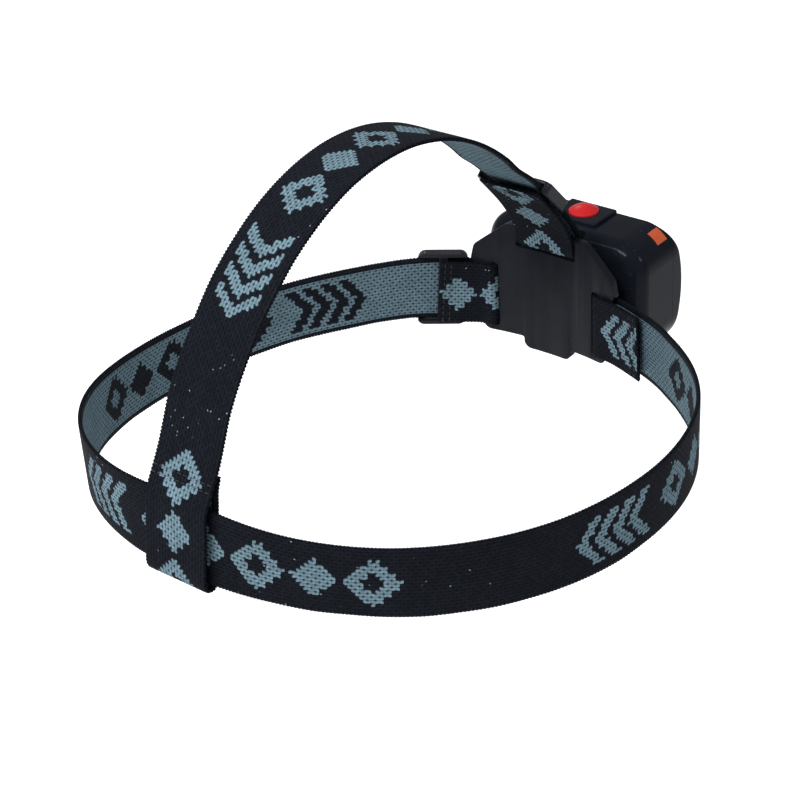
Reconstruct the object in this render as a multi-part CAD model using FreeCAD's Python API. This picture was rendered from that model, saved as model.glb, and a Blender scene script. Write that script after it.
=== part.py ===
import FreeCAD, Part
import math
import os
from FreeCAD import Vector as V

# ---------------------------------------------------------------------------
# Headlamp, millimetres.  +Z up, the lamp looks along -Y, the wearer's right
# is -X.  The origin is the middle of the head opening inside the head band.
# ---------------------------------------------------------------------------

# --- elastic straps --------------------------------------------------------
STRAP_W = 25.0          # width of both elastic straps
STRAP_T = 1.4           # thickness of the knitted elastic
BAND_A, BAND_B = 98.55, 97.19      # half axes of the head outline
BAND_C1, BAND_C3, BAND_C4 = -14.44, 0.54, 0.25
BAND_S1, BAND_S2 = 0.20, 3.75
BAND_X0, BAND_Y0 = -4.0, 13.8      # outline's own centre
BAND_OFF = 1.05         # head outline to the middle of the band
ARCH_RY, ARCH_RZ = 105.2, 135.1    # overhead strap, ellipse in the YZ plane
ARCH_Y0, ARCH_Z0 = -0.9, -33.7

# --- forehead plate ---------------------------------------------------------
PLATE_R = 130.0         # inner radius, follows the forehead
PLATE_Y = -101.0        # inner face at x = 0
PLATE_T = 3.4
PLATE_CY = PLATE_Y + PLATE_R
SIDE_SLOT_X = 20.9      # inner edge of the side slots
SIDE_SLOT_W = 2.9
SIDE_SLOT_L = 26.4
SLOT_ZC = -1.5          # middle height of the side slots
TOP_SLOT_Z = 20.6       # lower edge of the top slot
TOP_SLOT_H = 3.2
TOP_SLOT_L = 26.4

# --- lamp body --------------------------------------------------------------
LAMP_W = 70.0
LAMP_TOP = 26.5
LAMP_BOT = -23.5
LAMP_R = 12.5           # corner radius seen from the front
REAR_Y = -109.5
PART_Y = -133.0         # joint between the housing and the front cover
FRONT_R = 45.0          # the front is a barrel face about an X axis
FRONT_CY, FRONT_CZ = -95.8, 1.5
WALL = 2.0
PILLOW = 7.0            # rounding of the rear edges
RECESS_X = 9.0          # half width of the hinge recess
RECESS_Y = -114.6

# --- tilt hinge -------------------------------------------------------------
TILT_Y, TILT_Z = -110.0, -17.0
TILT_PIN_R = 1.5
TILT_KNUCKLE_R = 4.0

# --- front cover hinge ------------------------------------------------------
COVER_Y, COVER_Z = -132.6, -26.2
COVER_PIN_R = 1.0

# --- push button ------------------------------------------------------------
BTN_X, BTN_Y = 0.0, -126.2
BTN_R = 5.7
BTN_GAP = 0.20
BOSS_TOP = LAMP_TOP + 1.3

# --- battery and electrics ---------------------------------------------------
CELL_R, CELL_L = 5.25, 44.5
CELL_Y = -122.6
CELL_Z = (-13.4, -2.4, 8.6)

os.makedirs("parts", exist_ok=True)
done = []


def out(name, shape):
    if shape.ShapeType == "Compound" and len(shape.Solids) == 1:
        shape = shape.Solids[0]
    assert shape.isValid(), name
    assert shape.Volume > 0, name
    shape.exportStep("parts/%s.step" % name)
    done.append((name, len(shape.Solids), round(shape.Volume, 1)))
    return shape


def box(x0, x1, y0, y1, z0, z1):
    return Part.makeBox(x1 - x0, y1 - y0, z1 - z0, V(x0, y0, z0))


def cyl(r, p0, p1):
    p0, p1 = V(*p0), V(*p1)
    d = p1 - p0
    return Part.makeCylinder(r, d.Length, p0, d)


def fuse(*s):
    r = s[0]
    for k in s[1:]:
        r = r.fuse(k)
    return r.removeSplitter()


def rrect_xz(w2, z0, z1, r, y0, y1, xc=0.0):
    """Rounded rectangle in the XZ plane, extruded from y0 to y1."""
    pts = []
    x0, x1 = xc - w2, xc + w2
    c = math.sqrt(0.5) * r
    e = []
    e.append(Part.LineSegment(V(x0 + r, y0, z0), V(x1 - r, y0, z0)).toShape())
    e.append(Part.Arc(V(x1 - r, y0, z0), V(x1 - r + c, y0, z0 + r - c), V(x1, y0, z0 + r)).toShape())
    e.append(Part.LineSegment(V(x1, y0, z0 + r), V(x1, y0, z1 - r)).toShape())
    e.append(Part.Arc(V(x1, y0, z1 - r), V(x1 - r + c, y0, z1 - r + c), V(x1 - r, y0, z1)).toShape())
    e.append(Part.LineSegment(V(x1 - r, y0, z1), V(x0 + r, y0, z1)).toShape())
    e.append(Part.Arc(V(x0 + r, y0, z1), V(x0 + r - c, y0, z1 - r + c), V(x0, y0, z1 - r)).toShape())
    e.append(Part.LineSegment(V(x0, y0, z1 - r), V(x0, y0, z0 + r)).toShape())
    e.append(Part.Arc(V(x0, y0, z0 + r), V(x0 + r - c, y0, z0 + r - c), V(x0 + r, y0, z0)).toShape())
    return Part.Face(Part.Wire(e)).extrude(V(0, y1 - y0, 0))


# ---------------------------------------------------------------------------
# straps: a flat ribbon swept as straight-ruled spans between square sections
# ---------------------------------------------------------------------------
def ribbon(pts, across, width, thick):
    n = len(pts)
    P = [V(*p) for p in pts]
    wires = []
    for i in range(n):
        a = P[max(0, i - 1)]
        b = P[min(n - 1, i + 1)]
        t1 = (P[i] - a)
        t2 = (b - P[i])
        if t1.Length > 1e-9:
            t1.normalize()
        if t2.Length > 1e-9:
            t2.normalize()
        t = t1 + t2
        t.normalize()
        w = V(*(across[i] if isinstance(across, list) else across))
        w = w - t * w.dot(t)
        w.normalize()
        nn = t.cross(w)
        hw, ht = width / 2.0, thick / 2.0
        c = [P[i] + w * hw + nn * ht, P[i] - w * hw + nn * ht,
             P[i] - w * hw - nn * ht, P[i] + w * hw - nn * ht]
        wires.append(Part.makePolygon(c + [c[0]]))
    s = Part.makeLoft(wires, True, True)
    if s.Volume < 0:
        s.reverse()
    return s


def outline(deg, off):
    th = math.radians(deg)
    r = 1.0 / math.sqrt((math.sin(th) / BAND_A) ** 2 + (math.cos(th) / BAND_B) ** 2)
    r += (BAND_C1 * math.cos(th) + BAND_C3 * math.cos(3 * th) + BAND_C4 * math.cos(4 * th)
          + BAND_S2 * math.sin(2 * th) + BAND_S1 * math.sin(th)) + off
    return r * math.sin(th) + BAND_X0, r * math.cos(th) + BAND_Y0


def band_z(x, y):
    """Height of the middle of the band: high at the nape, low at the temples."""
    ph = math.atan2(x, y)
    z = (2.38 + 4.37 * math.cos(ph) - 2.08 * math.sin(ph) + 2.25 * math.cos(2 * ph) + 0.92 * math.sin(2 * ph)
         + 1.20 * math.cos(3 * ph) + 2.22 * math.sin(3 * ph) + 0.05 * math.cos(4 * ph) - 0.10 * math.sin(4 * ph))
    # level out where the ends meet the forehead plate
    if y < 0:
        k = max(0.0, min(1.0, (52.0 - abs(x)) / 22.0))
        k = k * k * (3 - 2 * k)
        z = z * (1 - k) + SLOT_ZC * k
    return z


def fold_end(sx, inner_end, mid):
    """Loop of the strap end round the side bar of the plate, x > 0 side."""
    loop = [(24.8, -97.45), (23.3, -97.75), (22.45, -98.7), (22.3, -100.2),
            (22.45, -101.7), (23.3, -102.65), (24.8, -102.95), (27.0, -102.45), (29.6, -101.2)]
    return [(sx * x, y) for x, y in (inner_end + loop + mid)]


left = fold_end(1, [(40.4, -87.5), (36.0, -91.1), (31.0, -94.9), (27.6, -96.8)],
                [(35.0, -96.7), (41.0, -91.6), (47.0, -86.5), (53.0, -81.2), (59.2, -74.6), (65.0, -67.7)])
right = fold_end(-1, [(46.2, -91.1), (42.0, -92.9), (36.0, -95.2), (31.0, -96.7), (27.6, -97.2)],
                 [(35.5, -99.6), (42.0, -96.9), (49.0, -93.6), (56.0, -89.6), (63.0, -84.6), (70.6, -78.8)])
body = []
d = 132.0
while d >= 0:
    body.append(outline(d, BAND_OFF))
    d -= 6.0
d = -6.0
while d >= -138.0:
    body.append(outline(d, BAND_OFF))
    d -= 6.0
plan = left + body + list(reversed(right))
band_pts = [(x, y, band_z(x, y)) for x, y in plan]
# the overhead strap pulls the top edge of the band inwards at the nape
LEAN, LEAN_W = 4.5, 28.0
band_across = []
for i in range(len(plan)):
    (x0, y0), (x1, y1) = plan[max(0, i - 1)], plan[min(len(plan) - 1, i + 1)]
    tl = math.hypot(x1 - x0, y1 - y0)
    nx, ny = -(y1 - y0) / tl * -1, -(x1 - x0) / tl      # outward normal in plan
    lean = LEAN * math.exp(-(plan[i][0] / LEAN_W) ** 2) if plan[i][1] > 0 else 0.0
    tilt = math.asin(lean / STRAP_W)
    band_across.append((-nx * math.sin(tilt), -ny * math.sin(tilt), math.cos(tilt)))
    x, y, z = band_pts[i]
    band_pts[i] = (x - nx * lean / 2, y - ny * lean / 2, z)
head_band = ribbon(band_pts, band_across, STRAP_W, STRAP_T)
out("head_band", head_band)

# overhead strap: the rear end goes outside the band, round its lower edge and
# up inside, sewn above it; the front end loops through the top slot.
rear = [(89.0, 31.8), (90.7, 27.4), (91.5, 22.4), (92.6, 16.0), (94.2, 6.0), (95.3, -1.6),
        (95.5, -3.4), (96.3, -4.6), (97.9, -4.9), (99.5, -4.5), (100.5, -3.5), (100.85, -2.1),
        (99.6, 6.2), (97.9, 16.0), (96.75, 22.4), (93.4, 28.0), (89.4, 34.4), (85.8, 41.6)]
arch = []
for k in range(38, 131, 4):
    t = math.radians(k)
    arch.append((ARCH_Y0 + ARCH_RY * math.cos(t), ARCH_Z0 + ARCH_RZ * math.sin(t)))
front = [(-75.6, 64.0), (-83.5, 56.5), (-91.0, 48.5), (-98.0, 39.8), (-102.9, 33.2), (-105.3, 28.6), (-105.45, 25.6),
         (-105.2, 23.6), (-104.3, 22.4), (-102.7, 22.15), (-101.1, 22.4), (-100.2, 23.6), (-99.95, 25.6),
         (-99.2, 29.6), (-96.3, 35.6), (-91.2, 42.8), (-85.2, 49.8), (-79.2, 56.4)]
over_pts = [(0.0, y, z) for y, z in rear + arch + front]
overhead_strap = ribbon(over_pts, (1, 0, 0), STRAP_W, STRAP_T)
out("overhead_strap", overhead_strap)


# ---------------------------------------------------------------------------
# strap adjusters (tri-glides)
# ---------------------------------------------------------------------------
def triglide(centre, along, across, normal):
    """Two side bars outside the strap, a middle bar inside it, two rails."""
    L2, H2 = 9.5, 15.0          # half length along the strap, half height across
    rail = 1.5
    so, si = STRAP_T / 2 + 0.2, STRAP_T / 2 + 0.2
    bar_t = 1.2
    parts = []
    # local axes: X along, Y across, Z normal (outwards)
    parts.append(Part.makeBox(2 * L2, rail, so + si + 2 * bar_t, V(-L2, H2 - rail, -si - bar_t)))
    parts.append(Part.makeBox(2 * L2, rail, so + si + 2 * bar_t, V(-L2, -H2, -si - bar_t)))
    parts.append(Part.makeBox(3.4, 2 * H2, bar_t, V(-L2, -H2, so)))
    parts.append(Part.makeBox(3.4, 2 * H2, bar_t, V(L2 - 3.4, -H2, so)))
    parts.append(Part.makeBox(3.2, 2 * H2, bar_t, V(-1.6, -H2, -si - bar_t)))
    s = parts[0]
    for q in parts[1:]:
        s = s.fuse(q)
    s = s.removeSplitter()
    # round the four outer corners
    keep = Part.makeBox(2 * L2, 2 * H2, 12, V(-L2, -H2, -6))
    es = [e for e in keep.Edges if abs(e.Vertexes[0].Z - e.Vertexes[1].Z) > 5]
    keep = keep.makeFillet(3.0, es)
    s = s.common(keep)
    m = FreeCAD.Matrix()
    a, c, n = V(*along), V(*across), V(*normal)
    m.A11, m.A21, m.A31 = a.x, a.y, a.z
    m.A12, m.A22, m.A32 = c.x, c.y, c.z
    m.A13, m.A23, m.A33 = n.x, n.y, n.z
    m.A14, m.A24, m.A34 = centre
    return s.transformed(m)


# on the wearer's left, beside the plate, on the straight run of the band
ax, ay = 53.0 - 35.0, -81.2 + 96.7
an = math.hypot(ax, ay)
ax, ay = ax / an, ay / an
cx, cy = 41.6, -91.0
t = ((cx - 35.0) * ax + (cy + 96.7) * ay)
cx, cy = 35.0 + ax * t, -96.7 + ay * t
za, zb = band_z(cx - 9 * ax, cy - 9 * ay), band_z(cx + 9 * ax, cy + 9 * ay)
sl = math.atan2(zb - za, 18.0)
ca, sa = math.cos(sl), math.sin(sl)
band_adjuster = triglide((cx, cy, (za + zb) / 2 + 0.4), (ax * ca, ay * ca, sa), (-ax * sa, -ay * sa, ca), (ay, -ax, 0))
out("band_adjuster", band_adjuster)

# on the overhead strap, above the plate, on its straight run
p0, p1 = (-83.5, 56.5), (-91.0, 48.5)
oy, oz = p1[0] - p0[0], p1[1] - p0[1]
on = math.hypot(oy, oz)
oy, oz = oy / on, oz / on
mc = ((p0[0] + p1[0]) / 2, (p0[1] + p1[1]) / 2)
overhead_adjuster = triglide((0, mc[0], mc[1]), (0, oy, oz), (-1, 0, 0), (0, oz, -oy))
out("overhead_adjuster", overhead_adjuster)


# ---------------------------------------------------------------------------
# forehead plate: curved shield with three strap slots and two hinge lugs
# ---------------------------------------------------------------------------
def poly_round(pts, r, y0, y1):
    """Polygon in XZ with rounded corners, extruded along Y."""
    n = len(pts)
    e = []
    ends = []
    for i in range(n):
        p = V(pts[i][0], y0, pts[i][1])
        a = V(pts[i - 1][0], y0, pts[i - 1][1])
        b = V(pts[(i + 1) % n][0], y0, pts[(i + 1) % n][1])
        u = a - p
        w = b - p
        lu, lw = u.Length, w.Length
        u.normalize()
        w.normalize()
        ang = u.getAngle(w)
        rr = r[i] if isinstance(r, (list, tuple)) else r
        tl = rr / math.tan(ang / 2)
        assert tl < min(lu, lw)
        bis = u + w
        bis.normalize()
        c = p + bis * (rr / math.sin(ang / 2))
        e.append(Part.Arc(p + u * tl, c - bis * rr, p + w * tl).toShape())
        ends.append((p + u * tl, p + w * tl))
    full = []
    for i in range(n):
        full.append(e[i])
        q0, q1 = ends[i][1], ends[(i + 1) % n][0]
        if (q1 - q0).Length > 1e-6:
            full.append(Part.LineSegment(q0, q1).toShape())
    return Part.Face(Part.Wire(full)).extrude(V(0, y1 - y0, 0))


shield_pts = [(-10.5, -21.6), (10.5, -21.6), (10.5, -17.0), (27.6, -17.0), (28.6, 8.0), (32.0, 12.5), (30.6, 18.5),
              (17.2, 29.2), (-17.2, 29.2), (-30.6, 18.5), (-32.0, 12.5), (-28.6, 8.0), (-27.6, -17.0), (-10.5, -17.0)]
shield_r = [3.0, 3.0, 1.0, 3.5, 3.5, 2.0, 3.5, 5.0, 5.0, 3.5, 2.0, 3.5, 3.5, 1.0]
prism = poly_round(shield_pts, shield_r, -115, -85)
ring_solid = Part.makeCylinder(PLATE_R + PLATE_T, 60, V(0, PLATE_CY, -25)).cut(
    Part.makeCylinder(PLATE_R, 60, V(0, PLATE_CY, -25)))
plate = prism.common(ring_solid)
for sx in (-1, 1):
    xc = sx * (SIDE_SLOT_X + SIDE_SLOT_W / 2)
    plate = plate.cut(rrect_xz(SIDE_SLOT_W / 2, SLOT_ZC - SIDE_SLOT_L / 2, SLOT_ZC + SIDE_SLOT_L / 2, 1.2, -115, -85, xc))
plate = plate.cut(rrect_xz(TOP_SLOT_L / 2, TOP_SLOT_Z, TOP_SLOT_Z + TOP_SLOT_H, 1.2, -115, -85))
# relief where the folded straps lie on the bars
for run in (band_pts[:17], band_pts[-18:]):
    plate = plate.cut(ribbon(run, (0, 0, 1), STRAP_W + 0.6, STRAP_T + 0.3))
plate = plate.cut(ribbon(over_pts[-17:], (1, 0, 0), STRAP_W + 0.6, STRAP_T + 0.3))
for sx in (-1, 1):
    x0, x1 = sorted((sx * 4.3, sx * 8.5))
    lug = cyl(TILT_KNUCKLE_R, (x0, TILT_Y, TILT_Z), (x1, TILT_Y, TILT_Z))
    lug = lug.fuse(box(x0, x1, TILT_Y, -102.6, TILT_Z - TILT_KNUCKLE_R, TILT_Z + TILT_KNUCKLE_R))
    plate = plate.fuse(lug)
plate = plate.cut(cyl(TILT_PIN_R, (-12, TILT_Y, TILT_Z), (12, TILT_Y, TILT_Z)))
plate = plate.removeSplitter()
out("forehead_plate", plate)

tilt_pin = cyl(TILT_PIN_R, (-8.9, TILT_Y, TILT_Z), (8.9, TILT_Y, TILT_Z))
tilt_pin = tilt_pin.makeChamfer(0.3, [e for e in tilt_pin.Edges if e.Curve.TypeId == "Part::GeomCircle"])
out("tilt_hinge_pin", tilt_pin)

# ---------------------------------------------------------------------------
# lamp housing
# ---------------------------------------------------------------------------


def barrel(r, x=60):
    """Everything behind the barrel-shaped front face."""
    b = Part.makeCylinder(r, 2 * x, V(-x, FRONT_CY, FRONT_CZ), V(1, 0, 0))
    return b.fuse(box(-x, x, FRONT_CY, -80, -60, 60))


def filleted_prism(w2, z0, z1, r, y_rear, y_front, f):
    s = rrect_xz(w2, z0, z1, r, y_front, y_rear)
    es = [e for e in s.Edges if all(abs(v.Y - y_rear) < 1e-6 for v in e.Vertexes)
          and abs(e.CenterOfMass.y - y_rear) < 1e-6]
    return s.makeFillet(f, es)


def corner_sector(sx, r0, r1, a0, a1, y0, y1):
    """Slice of ring in a top corner of the body, between two angles."""
    cx_, cz_ = LAMP_W / 2 - LAMP_R, LAMP_TOP - LAMP_R

    def p(r, a):
        a = math.radians(a)
        return V(sx * (cx_ + r * math.cos(a)), y0, cz_ + r * math.sin(a))
    am = (a0 + a1) / 2
    e = [Part.Arc(p(r1, a0), p(r1, am), p(r1, a1)).toShape(),
         Part.LineSegment(p(r1, a1), p(r0, a1)).toShape(),
         Part.Arc(p(r0, a1), p(r0, am), p(r0, a0)).toShape(),
         Part.LineSegment(p(r0, a0), p(r1, a0)).toShape()]
    return Part.Face(Part.Wire(e)).extrude(V(0, y1 - y0, 0))


INS_A0, INS_A1 = 38.0, 65.0
INS_Y0, INS_Y1 = PART_Y + 0.6, -126.2
outer = filleted_prism(LAMP_W / 2, LAMP_BOT, LAMP_TOP, LAMP_R, REAR_Y, PART_Y, PILLOW)
inner = filleted_prism(LAMP_W / 2 - WALL, LAMP_BOT + WALL, LAMP_TOP - WALL, LAMP_R - WALL,
                       REAR_Y - WALL, PART_Y - 1, PILLOW - WALL)
recess = box(-RECESS_X, RECESS_X, RECESS_Y, -100, -40, 40)
es = [e for e in recess.Edges if abs(e.Vertexes[0].Z - e.Vertexes[1].Z) > 50 and abs(e.Vertexes[0].Y - RECESS_Y) < 1e-6]
recess = recess.makeFillet(1.5, es)
recess_wall = box(-RECESS_X - 1.6, RECESS_X + 1.6, RECESS_Y - 1.6, -100, -40, 40)
housing = outer.cut(inner.cut(recess_wall))
housing = housing.cut(recess)
# knuckle of the tilt hinge inside the recess
knuckle = cyl(TILT_KNUCKLE_R, (-4.0, TILT_Y, TILT_Z), (4.0, TILT_Y, TILT_Z)).fuse(
    box(-4.0, 4.0, RECESS_Y - 0.8, TILT_Y, TILT_Z - TILT_KNUCKLE_R, TILT_Z + TILT_KNUCKLE_R))
housing = housing.fuse(knuckle)
housing = housing.cut(cyl(TILT_PIN_R + 0.05, (-6, TILT_Y, TILT_Z), (6, TILT_Y, TILT_Z)))
# raised boss and hole for the push button
boss = box(-10.2, 10.2, PART_Y, -118.2, LAMP_TOP - 1.0, BOSS_TOP)
boss = boss.makeFillet(1.6, [e for e in boss.Edges if abs(e.Vertexes[0].Z - e.Vertexes[1].Z) > 1
                             and e.Vertexes[0].Y > PART_Y + 1])
boss = boss.makeFillet(0.7, [e for e in boss.Edges if abs(e.CenterOfMass.z - BOSS_TOP) < 1e-6
                             and e.CenterOfMass.y > PART_Y + 0.01])
housing = housing.fuse(boss)
housing = housing.cut(Part.makeCylinder(BTN_R + BTN_GAP, 12, V(BTN_X, BTN_Y, LAMP_TOP - WALL - 1)))
# bosses for the battery tray screws
for sx in (-1, 1):
    b = cyl(2.6, (sx * 29.2, REAR_Y - WALL + 0.6, -2.4), (sx * 29.2, -116.2, -2.4))
    housing = housing.fuse(b)
    housing = housing.cut(cyl(0.9, (sx * 29.2, -112.4, -2.4), (sx * 29.2, -117.0, -2.4)))
# lugs of the front cover hinge under the front edge
for sx in (-1, 1):
    x0, x1 = sorted((sx * 8.2, sx * 13.0))
    lug = cyl(2.4, (x0, COVER_Y, COVER_Z), (x1, COVER_Y, COVER_Z)).fuse(
        box(x0, x1, COVER_Y, COVER_Y + 3.4, COVER_Z, LAMP_BOT + 0.8))
    housing = housing.fuse(lug)
    housing = housing.cut(cyl(COVER_PIN_R, (x0 - 1, COVER_Y, COVER_Z), (x1 + 1, COVER_Y, COVER_Z)))
# pads that carry the driver board
for sx in (-1, 1):
    housing = housing.fuse(box(*sorted((sx * 13.2, sx * 17.0)), -130.4, -116.0, 15.8, 17.4).fuse(
        box(*sorted((sx * 15.6, sx * 17.0)), -130.4, -116.0, 15.8, 25.0)))
    # catch for the snap tongues of the front cover
    housing = housing.cut(box(*sorted((sx * 17.6, sx * 23.0)), -132.1, -130.6, LAMP_TOP - WALL - 0.1, LAMP_TOP - 0.9))
    # pocket for the corner insert
    housing = housing.cut(corner_sector(sx, LAMP_R - 1.5, LAMP_R + 0.5, INS_A0, INS_A1, INS_Y0, INS_Y1))
housing = housing.removeSplitter()
out("rear_housing", housing)

# corner inserts let into the top front corners of the housing
for sx, nm in ((1, "corner_insert_left"), (-1, "corner_insert_right")):
    s = corner_sector(sx, LAMP_R - 1.5, LAMP_R + 0.15, INS_A0 + 0.2, INS_A1 - 0.2, INS_Y0 + 0.05, INS_Y1 - 0.05)
    out(nm, s)

# ---------------------------------------------------------------------------
# front cover: bezel, lens, gasket, reflector, LED on its star board
# ---------------------------------------------------------------------------
front_prism = rrect_xz(LAMP_W / 2, LAMP_BOT, LAMP_TOP, LAMP_R, -150, PART_Y - 0.15)
bezel_outer = front_prism.common(barrel(FRONT_R))
try:
    es = []
    for e in bezel_outer.Edges:
        c = e.CenterOfMass
        if c.y < PART_Y - 1.0 and abs(min(v.Y for v in e.Vertexes) - max(v.Y for v in e.Vertexes)) < 40:
            if all(v.Y < PART_Y - 0.5 for v in e.Vertexes) and all(
                    abs(math.hypot(v.Y - FRONT_CY, v.Z - FRONT_CZ) - FRONT_R) < 1e-3 for v in e.Vertexes):
                es.append(e)
    bezel_outer = bezel_outer.makeFillet(2.2, es)
except Exception as ex:
    print("bezel fillet skipped", ex)
bezel_inner = rrect_xz(LAMP_W / 2 - WALL, LAMP_BOT + WALL, LAMP_TOP - WALL, LAMP_R - WALL, -150, PART_Y + 2).common(
    barrel(FRONT_R - 2.2))
bezel = bezel_outer.cut(bezel_inner)
WIN_X, WIN_Z0, WIN_Z1, WIN_R = 27.0, -13.5, 16.5, 11.0
bezel = bezel.cut(rrect_xz(WIN_X, WIN_Z0, WIN_Z1, WIN_R, -150, -125))
# rebate for the lens
rebate = rrect_xz(WIN_X + 1.6, WIN_Z0 - 1.6, WIN_Z1 + 1.6, WIN_R + 1.6, -150, -125).cut(barrel(FRONT_R - 1.1))
bezel = bezel.cut(rebate)
# knuckle of the cover hinge
kn = cyl(2.4, (-8.0, COVER_Y, COVER_Z), (8.0, COVER_Y, COVER_Z)).fuse(
    box(-8.0, 8.0, -136.6, COVER_Y, COVER_Z, COVER_Z + 1.3)).fuse(
    box(-8.0, 8.0, -136.6, PART_Y - 0.15, COVER_Z, LAMP_BOT + 1.0))
bezel = bezel.fuse(kn).cut(cyl(COVER_PIN_R + 0.05, (-9, COVER_Y, COVER_Z), (9, COVER_Y, COVER_Z)))
# two snap tongues hold the cover shut, one each side of the button
for sx in (-1, 1):
    x0, x1 = sorted((sx * 18.0, sx * 22.6))
    bezel = bezel.fuse(box(x0, x1, -135.0, -130.9, LAMP_TOP - WALL - 1.5, LAMP_TOP - WALL - 0.25))
    bezel = bezel.fuse(box(x0, x1, -131.9, -130.9, LAMP_TOP - WALL - 0.8, LAMP_TOP - WALL + 0.2))
bezel = bezel.removeSplitter()
out("front_bezel", bezel)

lens_o = rrect_xz(WIN_X + 1.45, WIN_Z0 - 1.45, WIN_Z1 + 1.45, WIN_R + 1.45, -150, -125)
lens = lens_o.common(barrel(FRONT_R + 0.5)).cut(barrel(FRONT_R - 1.1 + 0.0))
out("lens", lens)

# gasket: rubber ring behind the window, inside the bezel
gk = rrect_xz(WIN_X + 3.0, WIN_Z0 - 3.0, WIN_Z1 + 3.0, WIN_R + 3.0, -150, -125).cut(
    rrect_xz(WIN_X + 0.6, WIN_Z0 - 0.6, WIN_Z1 + 0.6, WIN_R + 0.6, -151, -124))
gk = gk.common(barrel(FRONT_R - 2.2)).cut(barrel(FRONT_R - 3.4))
out("lens_gasket", gk)

# reflector tray: plate behind the window with a paraboloid cup
CUP_Z = 1.5
CUP_F, CUP_Y = 6.23, -132.0
tray = rrect_xz(29.2, -16.6, 19.6, 11.5, -146, -125).cut(barrel(FRONT_R - 4.6))
rr = (3.2, 4.5, 6.0, 7.5, 9.0, 10.5, 12.3)


def turned(pts):
    s = Part.Face(Part.makePolygon([V(*q, 0) for q in pts + pts[:1]])).revolve(V(0, 0, 0), V(0, 1, 0), 360)
    s.translate(V(0, 0, CUP_Z))
    return s


bowl = turned([(0, -130.0), (rr[0], -130.0)] + [(r, CUP_Y - r * r / (4 * CUP_F)) for r in rr] +
              [(rr[-1], -150.0), (0, -150.0)])
shell = turned([(0, CUP_Y - 0.4), (rr[0] + 0.9, CUP_Y - 0.1)] +
               [(r + 0.9, CUP_Y + 0.5 - r * r / (4 * CUP_F)) for r in rr[1:]] +
               [(rr[-1] + 0.9, -144.0), (0, -144.0)])
reflector = tray.fuse(shell).common(barrel(FRONT_R - 3.4)).cut(bowl)
out("reflector", reflector)

# star board, LED, and the aluminium carrier that holds the board in the cover
star = Part.makeCylinder(10.0, 1.4, V(0, -131.6, CUP_Z), V(0, 1, 0))
for k in range(6):
    a = math.radians(60 * k)
    star = star.cut(Part.makeCylinder(1.6, 4, V(9.6 * math.cos(a), -133, CUP_Z + 9.6 * math.sin(a)), V(0, 1, 0)))
out("led_star_board", star)

led = box(-1.75, 1.75, -132.4, -131.6, CUP_Z - 1.75, CUP_Z + 1.75)
dome = Part.makeSphere(1.35, V(0, -132.4, CUP_Z)).common(box(-3, 3, -136, -132.4, CUP_Z - 3, CUP_Z + 3))
out("led_emitter", led.fuse(dome).removeSplitter())

# aluminium bar behind the board, clamped in the sides of the bezel
bar = box(-31.4, 31.4, -130.2, -129.3, CUP_Z - 6.0, CUP_Z + 6.0)
for sx in (-1, 1):
    bar = bar.fuse(box(*sorted((sx * 30.6, sx * 32.6)), -135.0, -129.3, CUP_Z - 4.0, CUP_Z + 4.0))
bar = bar.cut(cyl(0.8, (9.6, -131, CUP_Z), (9.6, -128, CUP_Z))).cut(cyl(0.8, (-9.6, -131, CUP_Z), (-9.6, -128, CUP_Z)))
out("led_heat_spreader", bar.removeSplitter())

sc = []
for sx in (-1, 1):
    q = cyl(0.8, (sx * 9.6, -129.3, CUP_Z), (sx * 9.6, -131.6, CUP_Z)).fuse(
        cyl(1.7, (sx * 9.6, -131.6, CUP_Z), (sx * 9.6, -132.6, CUP_Z)))
    q = q.cut(box(sx * 9.6 - 1.2, sx * 9.6 + 1.2, -132.7, -132.2, CUP_Z - 0.25, CUP_Z + 0.25)).cut(
        box(sx * 9.6 - 0.25, sx * 9.6 + 0.25, -132.7, -132.2, CUP_Z - 1.2, CUP_Z + 1.2))
    sc.append(q)
out("star_board_screws", Part.makeCompound(sc))
out_pins = cyl(COVER_PIN_R, (-12.8, COVER_Y, COVER_Z), (12.8, COVER_Y, COVER_Z))
out("cover_hinge_pin", out_pins)

# ---------------------------------------------------------------------------
# push button, switch, driver board
# ---------------------------------------------------------------------------
BTN_SKIRT = 0.4
BTN_DOME = 2.1
btn_base = Part.makeCylinder(BTN_R, BOSS_TOP + BTN_SKIRT - (LAMP_TOP - WALL - 0.2), V(BTN_X, BTN_Y, LAMP_TOP - WALL - 0.2))
rs = (BTN_R ** 2 + BTN_DOME ** 2) / (2 * BTN_DOME)
cap = Part.makeSphere(rs, V(BTN_X, BTN_Y, BOSS_TOP + BTN_SKIRT + BTN_DOME - rs)).common(
    Part.makeCylinder(BTN_R, 4, V(BTN_X, BTN_Y, BOSS_TOP + BTN_SKIRT)))
flange = Part.makeCylinder(BTN_R + 1.1, 0.9, V(BTN_X, BTN_Y, LAMP_TOP - WALL - 1.1)).common(
    box(-20, 20, -132.2, -100, 0, 40))
stem = Part.makeCylinder(1.5, 1.0, V(BTN_X, BTN_Y, LAMP_TOP - WALL - 2.0))
button = btn_base.fuse(cap).fuse(flange).fuse(stem).removeSplitter()
out("push_button", button)

board = box(-15.2, 15.2, -130.3, -118.4, 17.5, 18.5)
out("driver_board", board)
tact = box(BTN_X - 3.0, BTN_X + 3.0, BTN_Y - 3.0, BTN_Y + 3.0, 18.5, 20.4).fuse(
    Part.makeCylinder(1.7, 0.9, V(BTN_X, BTN_Y, 20.4)))
out("tact_switch", tact.removeSplitter())

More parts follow.
